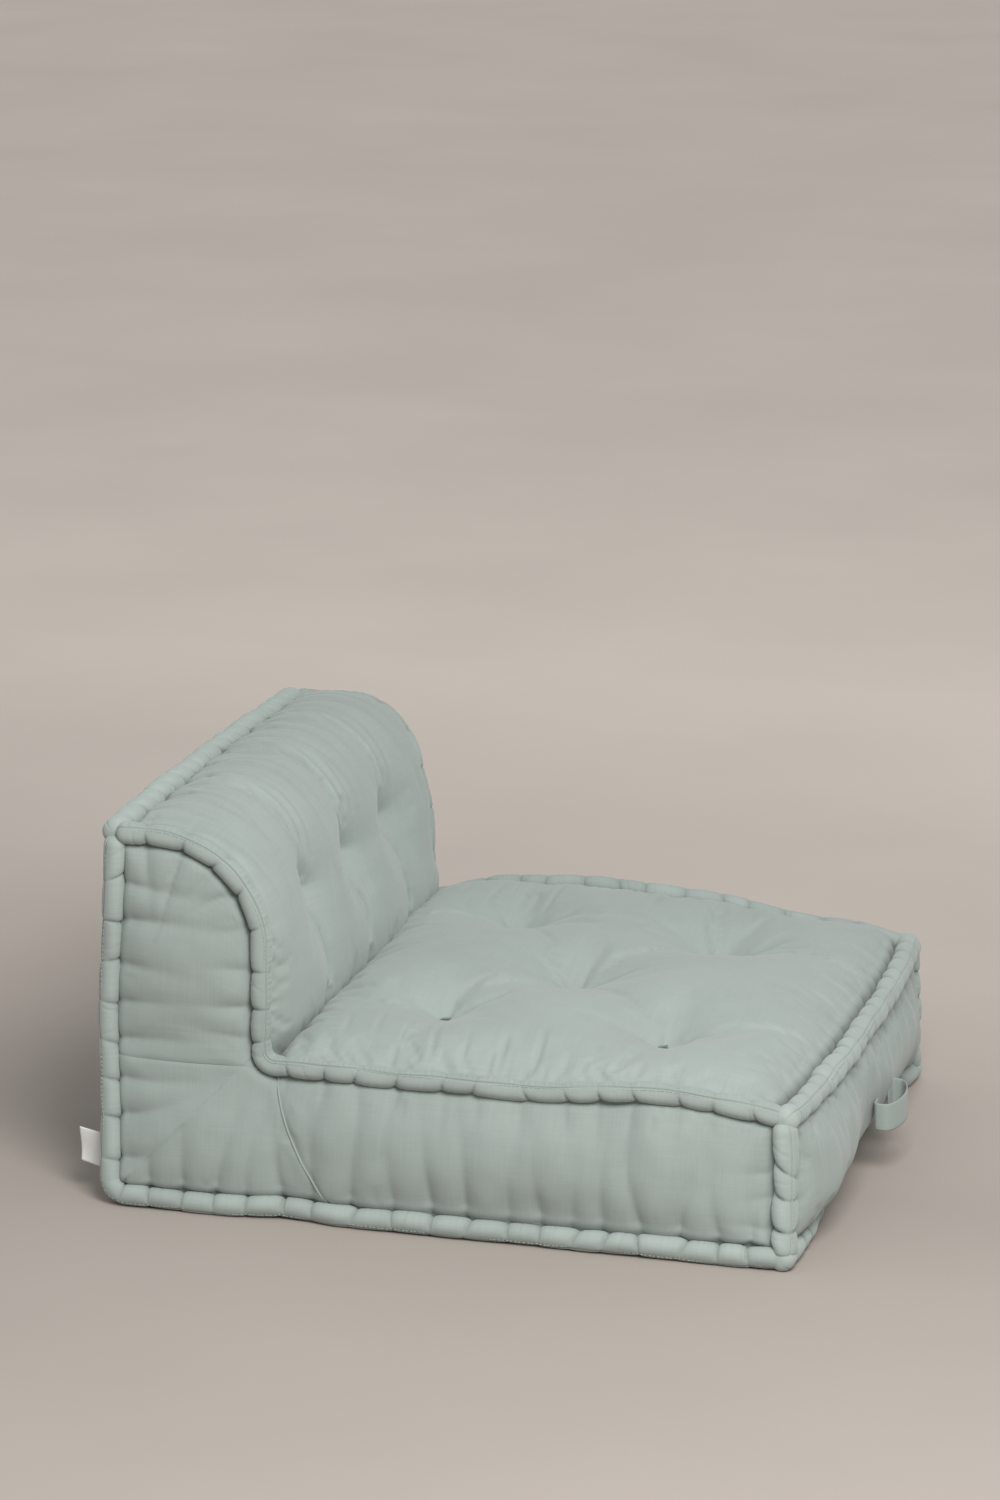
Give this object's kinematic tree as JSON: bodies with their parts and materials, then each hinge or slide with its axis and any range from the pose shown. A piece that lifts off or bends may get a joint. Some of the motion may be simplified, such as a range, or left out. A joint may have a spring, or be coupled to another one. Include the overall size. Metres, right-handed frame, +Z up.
{
  "type": "modular sofa unit",
  "caption": "Low floor-sofa module with a tufted seat, a rounded tufted backrest, stitched edge rolls all round and a webbing carry handle on the front.",
  "frame": {"origin": "middle of the underside, on the floor", "axes": "+X across the seat to the right seen from the front, -Y towards the front edge of the seat, +Y towards the backrest, +Z up"},
  "size_m": [0.892, 1.0927, 0.564],
  "materials": {
    "cover": "matte woven cotton, sage grey-green",
    "edge_roll": "the cover fabric over a stuffed roll",
    "filling": "undyed fibre stuffing",
    "tuft_thread": "waxed cotton cord",
    "webbing": "folded and stitched cover fabric",
    "label": "blank white woven tape"
  },
  "bodies": {
    "cushion": {"back_filling": "filling", "back_front_panel": "cover", "back_tuft_ties": "tuft_thread", "bottom_panel": "cover", "care_label": "label", "front_bottom_roll": "edge_roll", "front_panel": "cover", "front_top_roll": "edge_roll", "handle_ends": "webbing", "left_back_profile_roll": "edge_roll", "left_back_side_panel": "cover", "left_bottom_roll": "edge_roll", "left_front_corner_roll": "edge_roll", "left_rear_corner_roll": "edge_roll", "left_rear_side_panel": "cover", "left_seat_side_panel": "cover", "left_seat_top_roll": "edge_roll", "rear_bottom_roll": "edge_roll", "rear_panel": "cover", "rear_top_roll": "edge_roll", "right_back_profile_roll": "edge_roll", "right_back_side_panel": "cover", "right_bottom_roll": "edge_roll", "right_front_corner_roll": "edge_roll", "right_rear_corner_roll": "edge_roll", "right_rear_side_panel": "cover", "right_seat_side_panel": "cover", "right_seat_top_roll": "edge_roll", "seat_filling": "filling", "seat_top_panel": "cover", "seat_tuft_ties": "tuft_thread"},
    "handle": {"carry_handle": "webbing"}
  },
  "joints": [
    {"name": "handle_swing", "type": "hinge", "parent": "cushion", "child": "handle", "pos_m": [0.03, -0.53876, 0.095], "axis": [-1, 0, 0], "range_deg": [-75, 75], "stiffness_Nm_per_rad": 0.06}
  ]
}
